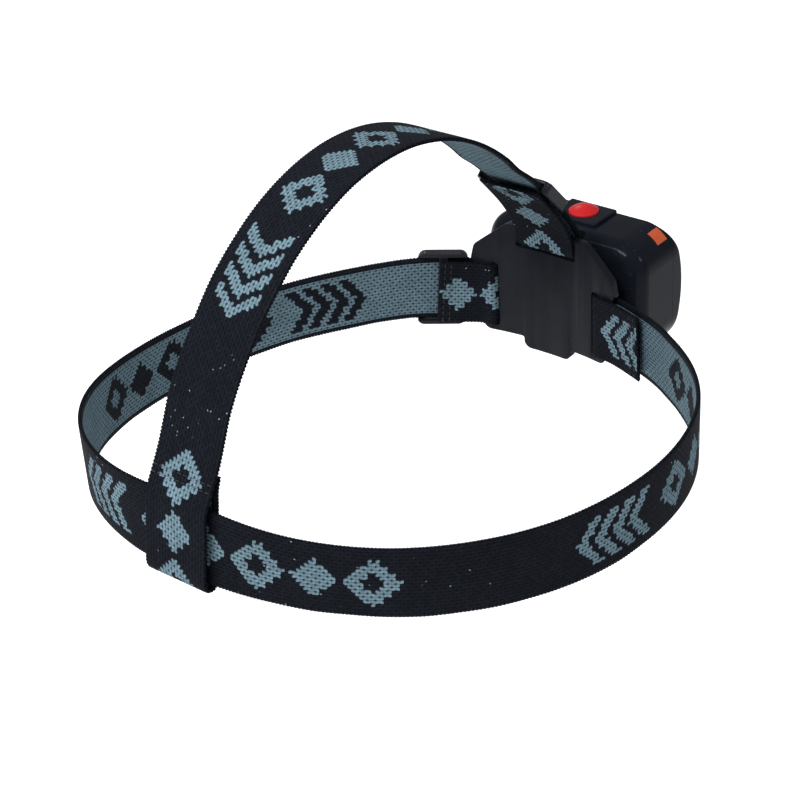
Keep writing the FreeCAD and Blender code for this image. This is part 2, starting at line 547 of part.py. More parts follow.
# ---------------------------------------------------------------------------
# battery tray, three AAA cells, contacts
# ---------------------------------------------------------------------------
TX, TZ0, TZ1 = 26.0, -20.2, 15.2
tray = box(-TX, TX, -126.0, -116.5, TZ0, TZ1).cut(box(-TX + 1.0, TX - 1.0, -127.0, -117.2, TZ0 + 1.0, TZ1 - 1.0))
for zc in (CELL_Z[0] + 5.5, CELL_Z[1] + 5.5):
    tray = tray.fuse(box(-TX + 0.5, -18.0, -119.6, -117.0, zc - 0.15, zc + 0.15)).fuse(
        box(18.0, TX - 0.5, -119.6, -117.0, zc - 0.15, zc + 0.15))
for sx in (-1, 1):
    tray = tray.fuse(box(*sorted((sx * (TX - 0.5), sx * 31.6)), -118.0, -116.5, -5.4, 0.6))
for sx in (-1, 1):
    tray = tray.cut(cyl(1.1, (sx * 29.2, -119, -2.4), (sx * 29.2, -115, -2.4)))
tray = tray.removeSplitter()
out("battery_tray", tray)

screws = []
for sx in (-1, 1):
    s = cyl(0.9, (sx * 29.2, -113.0, -2.4), (sx * 29.2, -118.0, -2.4)).fuse(
        cyl(1.9, (sx * 29.2, -118.0, -2.4), (sx * 29.2, -119.2, -2.4)))
    s = s.cut(box(sx * 29.2 - 1.4, sx * 29.2 + 1.4, -119.3, -118.7, -2.65, -2.15)).cut(
        box(sx * 29.2 - 0.25, sx * 29.2 + 0.25, -119.3, -118.7, -3.8, -1.0))
    screws.append(s)
out("tray_screws", Part.makeCompound(screws))

names = ("battery_cell_lower", "battery_cell_middle", "battery_cell_upper")
for i, zc in enumerate(CELL_Z):
    s = 1 if i % 2 == 0 else -1
    c = cyl(CELL_R, (-s * 22.25, CELL_Y, zc), (s * 21.25, CELL_Y, zc))
    c = c.makeFillet(0.5, [e for e in c.Edges if e.Curve.TypeId == "Part::GeomCircle"])
    c = c.fuse(cyl(1.9, (s * 21.2, CELL_Y, zc), (s * 22.25, CELL_Y, zc)))
    out(names[i], c.removeSplitter())

springs, plates = [], []
for i, zc in enumerate(CELL_Z):
    s = 1 if i % 2 == 0 else -1
    plates.append(box(*sorted((s * 22.6, s * 24.9)), CELL_Y - 3.2, CELL_Y + 3.2, zc - 4.2, zc + 4.2).cut(
        box(*sorted((s * 21.0, s * 24.4)), CELL_Y - 2.6, CELL_Y + 2.6, zc - 3.6, zc + 3.6)))
    # spring at the negative end: stacked turns of a conical coil
    coil = cyl(4.0, (-s * 24.9, CELL_Y, zc), (-s * 24.5, CELL_Y, zc)).fuse(
        Part.makeCone(3.6, 2.2, 1.9, V(-s * 24.5, CELL_Y, zc), V(s, 0, 0)))
    coil = coil.cut(cyl(1.2, (-s * 24.3, CELL_Y, zc), (-s * 22.0, CELL_Y, zc)))
    springs.append(coil)
out("contact_plates", Part.makeCompound(plates))
out("contact_springs", Part.makeCompound(springs))

for d in done:
    print(*d)
print("total nodes", len(done))
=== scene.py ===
import bpy
import math
import numpy as np
from mathutils import Vector, Matrix


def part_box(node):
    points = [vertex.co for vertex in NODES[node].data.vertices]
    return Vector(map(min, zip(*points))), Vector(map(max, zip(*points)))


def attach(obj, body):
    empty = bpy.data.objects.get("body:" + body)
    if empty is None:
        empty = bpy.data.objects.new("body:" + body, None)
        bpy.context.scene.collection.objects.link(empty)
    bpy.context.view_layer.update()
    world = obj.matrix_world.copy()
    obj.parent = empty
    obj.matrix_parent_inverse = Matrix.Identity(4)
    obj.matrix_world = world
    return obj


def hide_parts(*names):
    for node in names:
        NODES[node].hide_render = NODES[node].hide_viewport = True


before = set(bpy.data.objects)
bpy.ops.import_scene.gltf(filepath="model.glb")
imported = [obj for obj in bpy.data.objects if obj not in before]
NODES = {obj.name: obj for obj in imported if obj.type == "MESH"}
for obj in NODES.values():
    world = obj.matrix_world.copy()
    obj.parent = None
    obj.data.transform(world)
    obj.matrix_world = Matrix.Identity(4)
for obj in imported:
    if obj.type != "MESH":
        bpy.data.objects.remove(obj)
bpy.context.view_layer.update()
scene = bpy.context.scene
MM = 0.001

# ---------------------------------------------------------------------------
# camera
# ---------------------------------------------------------------------------
AZ, EL, ROLL = math.radians(221.5287), math.radians(32.3285), math.radians(-4.618)
back = Vector((math.sin(AZ) * math.cos(EL), -math.cos(AZ) * math.cos(EL), math.sin(EL)))
right = Vector((math.cos(AZ), math.sin(AZ), 0.0))
up = back.cross(right)
cx_ = right * math.cos(ROLL) + up * math.sin(ROLL)
cy_ = -right * math.sin(ROLL) + up * math.cos(ROLL)
cam_data = bpy.data.cameras.new("camera")
cam_data.sensor_width = 36.0
cam_data.lens = 1934.03 / 800.0 * 36.0
cam_data.shift_x = (400.0 - 362.655) / 800.0
cam_data.shift_y = (445.025 - 400.0) / 800.0
cam_data.clip_start = 0.01
cam_data.clip_end = 20.0
cam = bpy.data.objects.new("camera", cam_data)
scene.collection.objects.link(cam)
m = Matrix.Identity(4)
for i in range(3):
    m[i][0], m[i][1], m[i][2] = cx_[i], cy_[i], back[i]
m[0][3], m[1][3], m[2][3] = -0.36806, 0.42488, 0.34752
cam.matrix_world = m
scene.camera = cam


# ---------------------------------------------------------------------------
# small node-tree helper
# ---------------------------------------------------------------------------
class Nodes:
    def __init__(self, name):
        self.mat = bpy.data.materials.new(name)
        self.mat.use_nodes = True
        self.t = self.mat.node_tree
        self.t.nodes.clear()
        self.out = self.t.nodes.new("ShaderNodeOutputMaterial")
        self.p = self.t.nodes.new("ShaderNodeBsdfPrincipled")
        self.t.links.new(self.p.outputs[0], self.out.inputs[0])

    def new(self, kind, **kw):
        n = self.t.nodes.new("ShaderNode" + kind)
        for k, v in kw.items():
            setattr(n, k, v)
        return n

    def put(self, sock, v):
        if isinstance(v, bpy.types.NodeSocket):
            self.t.links.new(v, sock)
        elif isinstance(v, (tuple, list)) and len(v) == 3 and len(sock.default_value) == 4:
            sock.default_value = (v[0], v[1], v[2], 1.0)
        else:
            sock.default_value = v

    def math(self, op, a, b=0.0, c=0.0, clamp=False):
        n = self.new("Math", operation=op)
        n.use_clamp = clamp
        self.put(n.inputs[0], a)
        if len(n.inputs) > 1:
            self.put(n.inputs[1], b)
        if len(n.inputs) > 2:
            self.put(n.inputs[2], c)
        return n.outputs[0]

    def smooth(self, x, lo, hi, a=0.0, b=1.0):
        n = self.new("MapRange", interpolation_type="SMOOTHSTEP")
        n.clamp = True
        self.put(n.inputs[0], x)
        for i, v in enumerate((lo, hi, a, b)):
            self.put(n.inputs[1 + i], v)
        return n.outputs[0]

    def lin(self, x, lo, hi, a=0.0, b=1.0):
        n = self.new("MapRange")
        n.clamp = True
        self.put(n.inputs[0], x)
        for i, v in enumerate((lo, hi, a, b)):
            self.put(n.inputs[1 + i], v)
        return n.outputs[0]

    def mix(self, f, a, b):
        n = self.new("Mix", data_type="RGBA")
        self.put(n.inputs[0], f)
        self.put(n.inputs[6], a)
        self.put(n.inputs[7], b)
        return n.outputs[2]

    def obj(self):
        return self.new("TexCoord").outputs["Object"]

    def scale(self, vec, s):
        n = self.new("VectorMath", operation="MULTIPLY")
        self.put(n.inputs[0], vec)
        n.inputs[1].default_value = s
        return n.outputs[0]

    def noise(self, vec, scale, detail=2.0, rough=0.5, dist=0.0):
        n = self.new("TexNoise")
        self.put(n.inputs["Vector"], vec)
        n.inputs["Scale"].default_value = scale
        n.inputs["Detail"].default_value = detail
        n.inputs["Roughness"].default_value = rough
        n.inputs["Distortion"].default_value = dist
        return n.outputs["Fac"]

    def voronoi(self, vec, scale, feature="F1"):
        n = self.new("TexVoronoi", feature=feature)
        self.put(n.inputs["Vector"], vec)
        n.inputs["Scale"].default_value = scale
        return n.outputs["Distance"]

    def bump(self, h, dist, strength=1.0, normal=None):
        n = self.new("Bump")
        n.inputs["Strength"].default_value = strength
        n.inputs["Distance"].default_value = dist
        self.put(n.inputs["Height"], h)
        if normal is not None:
            self.put(n.inputs["Normal"], normal)
        return n.outputs[0]

    def set(self, **kw):
        names = {"color": "Base Color", "rough": "Roughness", "metal": "Metallic", "normal": "Normal",
                 "ior": "IOR", "trans": "Transmission Weight", "coat": "Coat Weight", "coat_rough": "Coat Roughness",
                 "sheen": "Sheen Weight", "sheen_rough": "Sheen Roughness", "sheen_tint": "Sheen Tint",
                 "spec": "Specular IOR Level", "sub": "Subsurface Weight", "sub_radius": "Subsurface Radius",
                 "sub_scale": "Subsurface Scale", "aniso": "Anisotropic", "emit": "Emission Color",
                 "emit_strength": "Emission Strength", "alpha": "Alpha"}
        for k, v in kw.items():
            self.put(self.p.inputs[names[k]], v)
        return self.mat


# ---------------------------------------------------------------------------
# moulded plastics and metals
# ---------------------------------------------------------------------------
def plastic(name, color, rough=0.3, rough_var=0.08, grain=0.00003, grain_scale=900.0, waves=0.00004,
            tint=0.25, dust=0.0, coat=0.0, spec=0.5, **extra):
    """Moulded plastic: slow waviness of the skin, fine grain, uneven gloss and rubbed spots."""
    k = Nodes(name)
    o = k.obj()
    slow = k.noise(o, 55.0, 3.0, 0.55)
    fine = k.noise(o, grain_scale, 3.0, 0.6)
    scuff = k.noise(k.scale(o, (1.0, 1.0, 4.0)), 420.0, 5.0, 0.7, 0.6)
    marks = k.smooth(scuff, 0.66, 0.80)
    r = k.math("ADD", k.lin(slow, 0.3, 0.7, rough - rough_var, rough + rough_var), k.math("MULTIPLY", marks, 0.12))
    c2 = tuple(min(1.0, c * (1 + tint) + 0.004 * tint) for c in color)
    c1 = tuple(c * (1 - tint * 0.6) for c in color)
    col = k.mix(k.lin(slow, 0.35, 0.65), c1, c2)
    if dust > 0:
        sp = k.voronoi(o, 700.0)
        d = k.math("MULTIPLY", k.smooth(sp, 0.10, 0.05), k.smooth(k.noise(o, 130.0, 1.0), 0.55, 0.62))
        col = k.mix(k.math("MULTIPLY", d, dust), col, (0.45, 0.46, 0.48))
    n = k.bump(slow, waves, 1.0)
    n = k.bump(fine, grain, 1.0, n)
    return k.set(color=col, rough=r, normal=n, coat=coat, spec=spec, **extra)


def metal(name, color, rough=0.25, brushed=(1.0, 1.0, 1.0), scale=600.0, depth=0.00002, var=0.08, **extra):
    k = Nodes(name)
    o = k.obj()
    b = k.noise(k.scale(o, brushed), scale, 4.0, 0.6)
    s = k.noise(o, 90.0, 3.0, 0.55)
    r = k.lin(b, 0.3, 0.7, rough - var, rough + var)
    col = k.mix(k.lin(s, 0.35, 0.68), tuple(c * 0.82 for c in color), color)
    return k.set(color=col, rough=r, metal=1.0, normal=k.bump(b, depth, 1.0), **extra)


M_HOUSING = plastic("housing_gloss_black", (0.0046, 0.0058, 0.0090), rough=0.15, rough_var=0.03, grain=0.000002,
                    grain_scale=1500.0, waves=0.00002, tint=0.2, dust=0.2, spec=0.040)
M_BEZEL = plastic("cover_gloss_black", (0.0046, 0.0057, 0.0086), rough=0.15, rough_var=0.03, grain=0.000002,
                  grain_scale=1500.0, waves=0.00002, tint=0.2, dust=0.2, spec=0.040)
M_PLATE = plastic("plate_satin_black", (0.0058, 0.0068, 0.0095), rough=0.40, rough_var=0.06, grain=0.00003,
                  grain_scale=1600.0, waves=0.00004, tint=0.2, dust=0.15, spec=0.05)
M_ADJ = plastic("adjuster_black", (0.0062, 0.0072, 0.0100), rough=0.34, rough_var=0.07, grain=0.00002, waves=0.00005,
                tint=0.2, dust=0.12, spec=0.10)
M_TRAY = plastic("tray_grey", (0.035, 0.037, 0.042), rough=0.5, rough_var=0.08, grain=0.00004, tint=0.2)
M_SWITCH = plastic("switch_black", (0.012, 0.012, 0.014), rough=0.45, grain=0.00003, tint=0.2)
M_RED = plastic("button_red", (0.32, 0.009, 0.011), rough=0.34, rough_var=0.06, spec=0.10, grain=0.00001, waves=0.00006, tint=0.12,
                sub=0.15, sub_radius=(0.004, 0.0008, 0.0006), sub_scale=1.0)


def orange():
    """Moulded orange marker lens: glossy, with a ribbed back that shows through."""
    k = Nodes("insert_orange")
    o = k.obj()
    rib = k.new("TexWave", wave_type="BANDS", bands_direction="Y")
    k.put(rib.inputs["Vector"], o)
    rib.inputs["Scale"].default_value = 330.0
    rib.inputs["Distortion"].default_value = 0.4
    slow = k.noise(o, 160.0, 2.0)
    col = k.mix(k.math("MULTIPLY", rib.outputs["Fac"], 0.6), (0.31, 0.040, 0.009), (0.41, 0.072, 0.018))
    col = k.mix(k.lin(slow, 0.3, 0.7, 0.0, 0.5), col, (0.44, 0.095, 0.030))
    return k.set(color=col, rough=k.lin(slow, 0.3, 0.7, 0.12, 0.24), normal=k.bump(slow, 0.00004), spec=0.3, coat=0.15,
                 coat_rough=0.08, sub=0.2, sub_radius=(0.003, 0.0012, 0.0004), sub_scale=1.0)


def clear_lens():
    k = Nodes("lens_clear")
    o = k.obj()
    s = k.noise(o, 70.0, 2.0)
    scr = k.noise(k.scale(o, (1.0, 1.0, 7.0)), 700.0, 4.0, 0.7, 1.2)
    fine = k.smooth(scr, 0.68, 0.80)
    r = k.math("ADD", k.math("MULTIPLY", fine, 0.10), 0.02)
    return k.set(color=(0.97, 0.985, 0.99), rough=r, trans=1.0, ior=1.49, normal=k.bump(s, 0.00004))


def gasket():
    k = Nodes("gasket_rubber")
    o = k.obj()
    f = k.noise(o, 1400.0, 4.0, 0.65)
    s = k.noise(o, 120.0, 2.0)
    return k.set(color=k.mix(k.lin(s, 0.3, 0.7), (0.018, 0.018, 0.019), (0.032, 0.032, 0.034)),
                 rough=k.lin(f, 0.3, 0.7, 0.68, 0.85), normal=k.bump(f, 0.00005), sheen=0.08, sheen_rough=0.5)


def chrome():
    """Vacuum-plated towards the beam; the back of the moulding stays bare grey plastic."""
    k = Nodes("reflector_chrome")
    o = k.obj()
    side = k.new("SeparateXYZ")
    k.put(side.inputs[0], k.new("TexCoord").outputs["Normal"])
    plated = k.smooth(side.outputs["Y"], 0.10, -0.02)
    peel = k.noise(o, 200.0, 2.0, 0.5)
    s = k.noise(o, 60.0, 2.0)
    grain = k.noise(o, 1500.0, 3.0, 0.6)
    dots = k.smooth(k.voronoi(o, 900.0), 0.08, 0.03)
    r = k.math("ADD", k.lin(s, 0.3, 0.7, 0.11, 0.16), k.math("MULTIPLY", dots, 0.15))
    r = k.math("ADD", k.math("MULTIPLY", r, plated),
               k.math("MULTIPLY", k.math("SUBTRACT", 1.0, plated), k.lin(grain, 0.3, 0.7, 0.48, 0.62)))
    bright = k.mix(k.lin(s, 0.3, 0.7), (0.74, 0.75, 0.76), (0.84, 0.845, 0.85))
    bare = k.mix(k.lin(grain, 0.3, 0.7), (0.13, 0.135, 0.14), (0.19, 0.195, 0.20))
    n = k.bump(peel, 0.000006)
    n = k.bump(k.math("MULTIPLY", grain, k.math("SUBTRACT", 1.0, plated)), 0.00003, 1.0, n)
    return k.set(color=k.mix(plated, bare, bright), rough=r, metal=plated, normal=n)


def board(name, mask, copper, scale=1.0):
    """Printed board: solder mask with traces, round pads and a fine glass weave."""
    k = Nodes(name)
    o = k.obj()
    br = k.new("TexBrick")
    br.offset, br.offset_frequency, br.squash, br.squash_frequency = 0.37, 2, 0.6, 3
    k.put(br.inputs["Vector"], k.scale(o, (1.0, 1.0, 1.0)))
    br.inputs["Scale"].default_value = 260.0 * scale
    br.inputs["Mortar Size"].default_value = 0.06
    br.inputs["Mortar Smooth"].default_value = 0.1
    br.inputs["Brick Width"].default_value = 1.3
    br.inputs["Row Height"].default_value = 0.5
    trace = br.outputs["Fac"]
    pads = k.smooth(k.voronoi(o, 330.0 * scale), 0.20, 0.17)
    weave = k.noise(k.scale(o, (1.0, 1.0, 1.0)), 2400.0, 2.0)
    light = tuple(min(1.0, c * 1.5 + 0.01) for c in mask)
    col = k.mix(k.math("MULTIPLY", trace, 0.8), mask, light)
    col = k.mix(k.math("MULTIPLY", weave, 0.15), col, light)
    col = k.mix(pads, col, copper)
    return k.set(color=col, rough=k.lin(weave, 0.3, 0.7, 0.28, 0.42), metal=k.math("MULTIPLY", pads, 0.9),
                 normal=k.bump(k.math("ADD", trace, pads), 0.00003), coat=0.2, coat_rough=0.15)


def phosphor():
    k = Nodes("led_phosphor")
    o = k.obj()
    f = k.noise(o, 2200.0, 3.0, 0.7)
    s = k.noise(o, 400.0, 2.0)
    return k.set(color=k.mix(k.lin(f, 0.3, 0.7), (0.86, 0.56, 0.05), (0.95, 0.76, 0.16)),
                 rough=k.lin(s, 0.3, 0.7, 0.12, 0.3), normal=k.bump(f, 0.00002), coat=0.6, coat_rough=0.04)


def jacket(lo, hi):
    """Battery wrap: two-tone sleeve with a silver ring near the cap end, faint stretch wrinkles."""
    k = Nodes("cell_jacket")
    o = k.obj()
    sep = k.new("SeparateXYZ")
    k.put(sep.inputs[0], o)
    x = k.lin(sep.outputs["X"], lo, hi, 0.0, 1.0)
    band = k.smooth(x, 0.30, 0.305)
    ring = k.math("MULTIPLY", k.smooth(x, 0.285, 0.29), k.smooth(x, 0.32, 0.315))
    ends = k.math("MAXIMUM", k.smooth(x, 0.035, 0.03), k.smooth(x, 0.965, 0.97))
    f = k.noise(k.scale(o, (4.0, 1.0, 1.0)), 500.0, 3.0)
    col = k.mix(band, (0.012, 0.013, 0.016), (0.02, 0.10, 0.045))
    col = k.mix(ring, col, (0.55, 0.56, 0.57))
    col = k.mix(ends, col, (0.62, 0.61, 0.58))
    col = k.mix(k.lin(f, 0.3, 0.7, 0.0, 0.15), col, (0.0, 0.0, 0.0))
    return k.set(color=col, rough=k.lin(f, 0.3, 0.7, 0.22, 0.36), metal=k.math("MULTIPLY", k.math("MAXIMUM", ends, ring), 0.9),
                 normal=k.bump(f, 0.00004), coat=0.3, coat_rough=0.1)


M_STEEL = metal("screw_steel", (0.52, 0.53, 0.55), rough=0.28, brushed=(1, 6, 6), scale=900.0)
M_PIN = metal("hinge_steel", (0.42, 0.43, 0.45), rough=0.3, brushed=(0.4, 8, 8), scale=900.0)
M_NICKEL = metal("contact_nickel", (0.62, 0.60, 0.55), rough=0.22, brushed=(3, 3, 1), scale=700.0)
M_ALU = metal("spreader_aluminium", (0.46, 0.47, 0.48), rough=0.36, brushed=(0.5, 1, 9), scale=700.0, depth=0.00008,
              var=0.14)

cell_lo, cell_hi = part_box("battery_cell_middle")
finish_of = {
    "band_adjuster": M_ADJ, "overhead_adjuster": M_ADJ, "forehead_plate": M_PLATE, "tilt_hinge_pin": M_PIN,
    "rear_housing": M_HOUSING, "front_bezel": M_BEZEL, "cover_hinge_pin": M_PIN,
    "corner_insert_left": orange(), "lens": clear_lens(), "lens_gasket": gasket(), "reflector": chrome(),
    "led_star_board": board("board_white", (0.62, 0.63, 0.62), (0.75, 0.55, 0.28), 0.7),
    "led_emitter": phosphor(), "led_heat_spreader": M_ALU, "star_board_screws": M_STEEL, "tray_screws": M_STEEL,
    "push_button": M_RED, "driver_board": board("board_green", (0.012, 0.11, 0.045), (0.70, 0.52, 0.25)),
    "tact_switch": M_SWITCH, "battery_tray": M_TRAY, "contact_plates": M_NICKEL, "contact_springs": M_NICKEL,
}
finish_of["corner_insert_right"] = finish_of["corner_insert_left"]
wrap = jacket(cell_lo.x, cell_hi.x)
for n in ("battery_cell_lower", "battery_cell_middle", "battery_cell_upper"):
    finish_of[n] = wrap
for n, mat in finish_of.items():
    d = NODES[n].data
    if not d.materials:
        d.materials.append(mat)
    for i in range(len(d.materials)):
        d.materials[i] = mat


# moulded edges are softly broken, which the straight CAD edges aren't
for n, w in (("forehead_plate", 0.45), ("band_adjuster", 0.35), ("overhead_adjuster", 0.35), ("battery_tray", 0.15)):
    ob = NODES[n]
    weld = ob.modifiers.new("weld", "WELD")
    weld.merge_threshold = 0.000004
    bev = ob.modifiers.new("soft_edge", "BEVEL")
    bev.width = w * MM
    bev.segments = 2
    bev.limit_method = "ANGLE"
    bev.angle_limit = math.radians(38)
    bev.use_clamp_overlap = True
    bev.harden_normals = True


# ---------------------------------------------------------------------------
# elastic straps
# ---------------------------------------------------------------------------
STRAP_W, STRAP_T = 25.0, 1.4
CELL_U, CELL_V = 1.2, 1.25          # one knit stitch along and across, mm
HALF = STRAP_W / 2


def outline(deg, off):
    th = math.radians(deg)
    r = 1.0 / math.sqrt((math.sin(th) / 98.55) ** 2 + (math.cos(th) / 97.19) ** 2)
    r += (-14.44 * math.cos(th) + 0.54 * math.cos(3 * th) + 0.25 * math.cos(4 * th)
          + 3.75 * math.sin(2 * th) + 0.20 * math.sin(th)) + off
    return r * math.sin(th) - 4.0, r * math.cos(th) + 13.8


def band_z(x, y):
    ph = math.atan2(x, y)
    z = (2.38 + 4.37 * math.cos(ph) - 2.08 * math.sin(ph) + 2.25 * math.cos(2 * ph) + 0.92 * math.sin(2 * ph)
         + 1.20 * math.cos(3 * ph) + 2.22 * math.sin(3 * ph) + 0.05 * math.cos(4 * ph) - 0.10 * math.sin(4 * ph))
    if y < 0:
        k = max(0.0, min(1.0, (52.0 - abs(x)) / 22.0))
        k = k * k * (3 - 2 * k)
        z = z * (1 - k) - 1.5 * k
    return z


def fold_end(sx, inner_end, mid):
    loop = [(24.8, -97.45), (23.3, -97.75), (22.45, -98.7), (22.3, -100.2),
            (22.45, -101.7), (23.3, -102.65), (24.8, -102.95), (27.0, -102.45), (29.6, -101.2)]
    return [(sx * x, y) for x, y in (inner_end + loop + mid)]


left = fold_end(1, [(40.4, -87.5), (36.0, -91.1), (31.0, -94.9), (27.6, -96.8)],
                [(35.0, -96.7), (41.0, -91.6), (47.0, -86.5), (53.0, -81.2), (59.2, -74.6), (65.0, -67.7)])
right_end = fold_end(-1, [(46.2, -91.1), (42.0, -92.9), (36.0, -95.2), (31.0, -96.7), (27.6, -97.2)],
                     [(35.5, -99.6), (42.0, -96.9), (49.0, -93.6), (56.0, -89.6), (63.0, -84.6), (70.6, -78.8)])
body = [outline(d, 1.05) for d in range(132, -1, -6)] + [outline(-d, 1.05) for d in range(6, 139, 6)]
band_pts = [(x, y, band_z(x, y)) for x, y in left + body + list(reversed(right_end))]

over_rear = [(89.0, 31.8), (90.7, 27.4), (91.5, 22.4), (92.6, 16.0), (94.2, 6.0), (95.3, -1.6),
             (95.5, -3.4), (96.3, -4.6), (97.9, -4.9), (99.5, -4.5), (100.5, -3.5), (100.85, -2.1),
             (99.6, 6.2), (97.9, 16.0), (96.75, 22.4), (93.4, 28.0), (89.4, 34.4), (85.8, 41.6)]
over_arch = [(-0.9 + 105.2 * math.cos(math.radians(k)), -33.7 + 135.1 * math.sin(math.radians(k)))
             for k in range(38, 131, 4)]
over_front = [(-75.6, 64.0), (-83.5, 56.5), (-91.0, 48.5), (-98.0, 39.8), (-102.9, 33.2), (-105.3, 28.6),
              (-105.45, 25.6), (-105.2, 23.6), (-104.3, 22.4), (-102.7, 22.15), (-101.1, 22.4), (-100.2, 23.6),
              (-99.95, 25.6), (-99.2, 29.6), (-96.3, 35.6), (-91.2, 42.8), (-85.2, 49.8), (-79.2, 56.4)]
over_pts = [(0.0, y, z) for y, z in over_rear + over_arch + over_front]


def smooth_line(pts, step):
    """Centripetal Catmull-Rom line through the points, resampled at an even step (mm)."""
    P = np.array(pts, float)
    n = len(P)
    res = []
    for i in range(n - 1):
        p1, p2 = P[i], P[i + 1]
        p0 = P[i - 1] if i > 0 else 2 * p1 - p2
        p3 = P[i + 2] if i + 2 < n else 2 * p2 - p1
        t0 = 0.0
        t1 = t0 + max(1e-6, np.linalg.norm(p1 - p0)) ** 0.5
        t2 = t1 + max(1e-6, np.linalg.norm(p2 - p1)) ** 0.5
        t3 = t2 + max(1e-6, np.linalg.norm(p3 - p2)) ** 0.5
        for t in np.linspace(t1, t2, max(3, int(np.linalg.norm(p2 - p1) / 0.15)), endpoint=False):
            a1 = (t1 - t) / (t1 - t0) * p0 + (t - t0) / (t1 - t0) * p1
            a2 = (t2 - t) / (t2 - t1) * p1 + (t - t1) / (t2 - t1) * p2
            a3 = (t3 - t) / (t3 - t2) * p2 + (t - t2) / (t3 - t2) * p3
            b1 = (t2 - t) / (t2 - t0) * a1 + (t - t0) / (t2 - t0) * a2
            b2 = (t3 - t) / (t3 - t1) * a2 + (t - t1) / (t3 - t1) * a3
            res.append((t2 - t) / (t2 - t1) * b1 + (t - t1) / (t2 - t1) * b2)
    res.append(P[-1])
    Q = np.array(res)
    L = np.r_[0.0, np.cumsum(np.linalg.norm(np.diff(Q, axis=0), axis=1))]
    m = int(L[-1] / step + 0.5)
    s = np.linspace(0.0, L[-1], m + 1)
    C = np.stack([np.interp(s, L, Q[:, k]) for k in range(3)], 1)
    # take the last little kinks out, keeping the ends
    for _ in range(3):
        C[1:-1] = 0.25 * C[:-2] + 0.5 * C[1:-1] + 0.25 * C[2:]
    return s, C, L[-1]


def diamonds(a, v):
    """Row of five woven figures, 18 mm apart: ringed diamonds between stacked small ones. a, v in mm."""
    i = int(a // 18.0)
    x = a - i * 18.0 - 9.0
    if i < 0 or i > 4:
        return False
    d = abs(x) + abs(v)
    if i % 2 == 0:
        return 3.9 < d < 9.4 and abs(v) < 8.4
    return d < 7.3


def chevrons(a, v):
    """Patch of nested chevrons on a slant, 34 mm long."""
    if abs(v) > 8.8 or a < 0 or a > 34:
        return False
    q = a - 0.75 * abs(v)
    if q < 0.5 or q > 26.8:
        return False
    return (q % 7.0) < 4.3


def motif(s, v, marks):
    for kind, start in marks:
        a = s - start
        if kind == "patch" and 0 <= a <= 34 and chevrons(a, v):
            return True
        if kind == "row" and 0 <= a <= 90 and diamonds(a, v):
            return True
    return False


